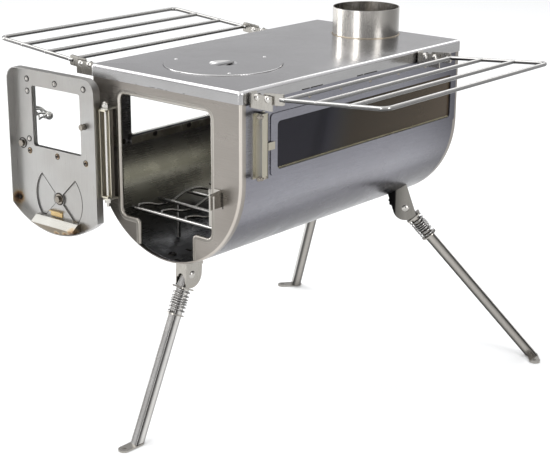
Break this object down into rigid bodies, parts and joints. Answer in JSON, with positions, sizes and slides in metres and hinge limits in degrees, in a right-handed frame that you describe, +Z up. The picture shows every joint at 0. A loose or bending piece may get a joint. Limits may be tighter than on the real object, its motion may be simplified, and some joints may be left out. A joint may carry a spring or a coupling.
{
  "type": "tent wood stove",
  "caption": "Folding-leg sheet-steel tent stove: round-bottomed firebox, glazed door and sides, flat cooktop with burner lid and flue collar, fold-up wire side racks.",
  "frame": {"origin": "on the ground under the middle of the stove's outline", "axes": "+X to the stove's right-hand side, -Y to the front with the door, +Z up"},
  "size_m": [0.6236, 0.599, 0.4835],
  "materials": {
    "cooktop_sheet": "smooth satin stainless sheet",
    "door_glass": "clear heat-proof glass",
    "door_sheet": "satin stainless sheet, pressed",
    "firebox_sheet": "satin rolled stainless sheet",
    "fixings": "polished stainless fixings",
    "formed_sheet": "folded stainless sheet",
    "grate_wire": "drawn stainless wire, dull",
    "heat_tinted_tab": "stainless sheet with a straw heat tint",
    "leg_tube": "satin square stainless tube",
    "polished_collar": "polished stainless tube with drawing lines",
    "rack_wire": "polished stainless wire",
    "side_glass": "clear heat-proof glass, darkened by smoke",
    "spring_wire": "bright drawn spring wire"
  },
  "bodies": {
    "stove": {"firebox_shell": "firebox_sheet", "front_panel": "firebox_sheet", "back_panel": "firebox_sheet", "cooktop_plate": "cooktop_sheet", "flue_collar": "polished_collar", "right_window_frame": "formed_sheet", "left_window_frame": "formed_sheet", "right_window_glass": "side_glass", "left_window_glass": "side_glass", "right_glass_strips": "formed_sheet", "left_glass_strips": "formed_sheet", "right_window_keeper": "formed_sheet", "left_window_keeper": "formed_sheet", "window_screws": "fixings", "right_rack_brackets": "formed_sheet", "left_rack_brackets": "formed_sheet", "right_rack_rivets": "fixings", "left_rack_rivets": "fixings", "latch_catch": "formed_sheet", "door_hinge_ears": "formed_sheet", "door_hinge_rod": "fixings", "door_hinge_cap_nut": "fixings", "front_leg_bracket": "formed_sheet", "front_leg_rivet": "fixings", "rear_right_leg_bracket": "formed_sheet", "rear_right_leg_rivet": "fixings", "rear_left_leg_bracket": "formed_sheet", "rear_left_leg_rivet": "fixings"},
    "door": {"door_panel": "door_sheet", "door_glass": "door_glass", "door_glass_frame": "door_sheet", "door_screws": "fixings", "door_hinge_channel": "formed_sheet", "door_ash_lip": "door_sheet", "damper_stop": "heat_tinted_tab", "damper_spindle": "fixings", "latch_bolt": "fixings"},
    "damper": {"damper_plate": "door_sheet"},
    "latch": {"latch_lever": "formed_sheet", "spiral_handle": "formed_sheet"},
    "right_rack": {"right_rack": "rack_wire"},
    "left_rack": {"left_rack": "rack_wire"},
    "lid": {"burner_lid": "cooktop_sheet"},
    "grate": {"log_grate": "grate_wire"},
    "front_leg": {"front_leg_tube": "leg_tube", "front_leg_foot": "formed_sheet", "front_leg_spring": "spring_wire", "front_leg_seat": "formed_sheet"},
    "front_lock": {"front_leg_collar": "formed_sheet"},
    "rear_right_leg": {"rear_right_leg_tube": "leg_tube", "rear_right_leg_foot": "formed_sheet", "rear_right_leg_spring": "spring_wire", "rear_right_leg_seat": "formed_sheet"},
    "rear_right_lock": {"rear_right_leg_collar": "formed_sheet"},
    "rear_left_leg": {"rear_left_leg_tube": "leg_tube", "rear_left_leg_foot": "formed_sheet", "rear_left_leg_spring": "spring_wire", "rear_left_leg_seat": "formed_sheet"},
    "rear_left_lock": {"rear_left_leg_collar": "formed_sheet"}
  },
  "joints": [
    {"name": "door_hinge", "type": "hinge", "parent": "stove", "child": "door", "pos_m": [-0.0872, -0.2261, 0.342], "axis": [0, 0, -1], "range_deg": [-178, 0]},
    {"name": "door_latch", "type": "hinge", "parent": "door", "child": "latch", "pos_m": [-0.23773, -0.23085, 0.3316], "axis": [0.0349, -0.9994, 0], "range_deg": [-42, 0]},
    {"name": "air_damper", "type": "hinge", "parent": "door", "child": "damper", "pos_m": [-0.17436, -0.22864, 0.2685], "axis": [0.0349, -0.9994, 0], "range_deg": [0, 90]},
    {"name": "right_rack_fold", "type": "hinge", "parent": "stove", "child": "right_rack", "pos_m": [0.1518, -0.0451, 0.4415], "axis": [0, -1, 0], "range_deg": [0, 136]},
    {"name": "left_rack_fold", "type": "hinge", "parent": "stove", "child": "left_rack", "pos_m": [-0.1518, -0.0451, 0.4415], "axis": [0, 1, 0], "range_deg": [0, 136]},
    {"name": "lid_lift", "type": "slide", "parent": "stove", "child": "lid", "axis": [0, 0, 1], "range_m": [0, 0.06]},
    {"name": "grate_slide", "type": "slide", "parent": "stove", "child": "grate", "axis": [0, -1, 0], "range_m": [0, 0.42]},
    {"name": "front_leg_fold", "type": "hinge", "parent": "stove", "child": "front_leg", "pos_m": [0, -0.1791, 0.197], "axis": [1, 0, 0], "range_deg": [0, 112]},
    {"name": "front_leg_lock", "type": "slide", "parent": "front_leg", "child": "front_lock", "axis": [0, -0.4226, -0.9063], "range_m": [0, 0.006], "stiffness_N_per_m": 400, "springref_m": -0.012, "deforming": ["front_leg_spring"]},
    {"name": "rear_right_leg_fold", "type": "hinge", "parent": "stove", "child": "rear_right_leg", "pos_m": [0.07468, 0.1709, 0.21771], "axis": [-0.6428, 0.766, 0], "range_deg": [0, 112]},
    {"name": "rear_right_leg_lock", "type": "slide", "parent": "rear_right_leg", "child": "rear_right_lock", "axis": [0.4975, 0.4175, -0.7604], "range_m": [0, 0.006], "stiffness_N_per_m": 400, "springref_m": -0.012, "deforming": ["rear_right_leg_spring"]},
    {"name": "rear_left_leg_fold", "type": "hinge", "parent": "stove", "child": "rear_left_leg", "pos_m": [-0.07468, 0.1709, 0.21771], "axis": [-0.6428, -0.766, 0], "range_deg": [0, 98]},
    {"name": "rear_left_leg_lock", "type": "slide", "parent": "rear_left_leg", "child": "rear_left_lock", "axis": [-0.4975, 0.4175, -0.7604], "range_m": [0, 0.006], "stiffness_N_per_m": 400, "springref_m": -0.012, "deforming": ["rear_left_leg_spring"]}
  ]
}
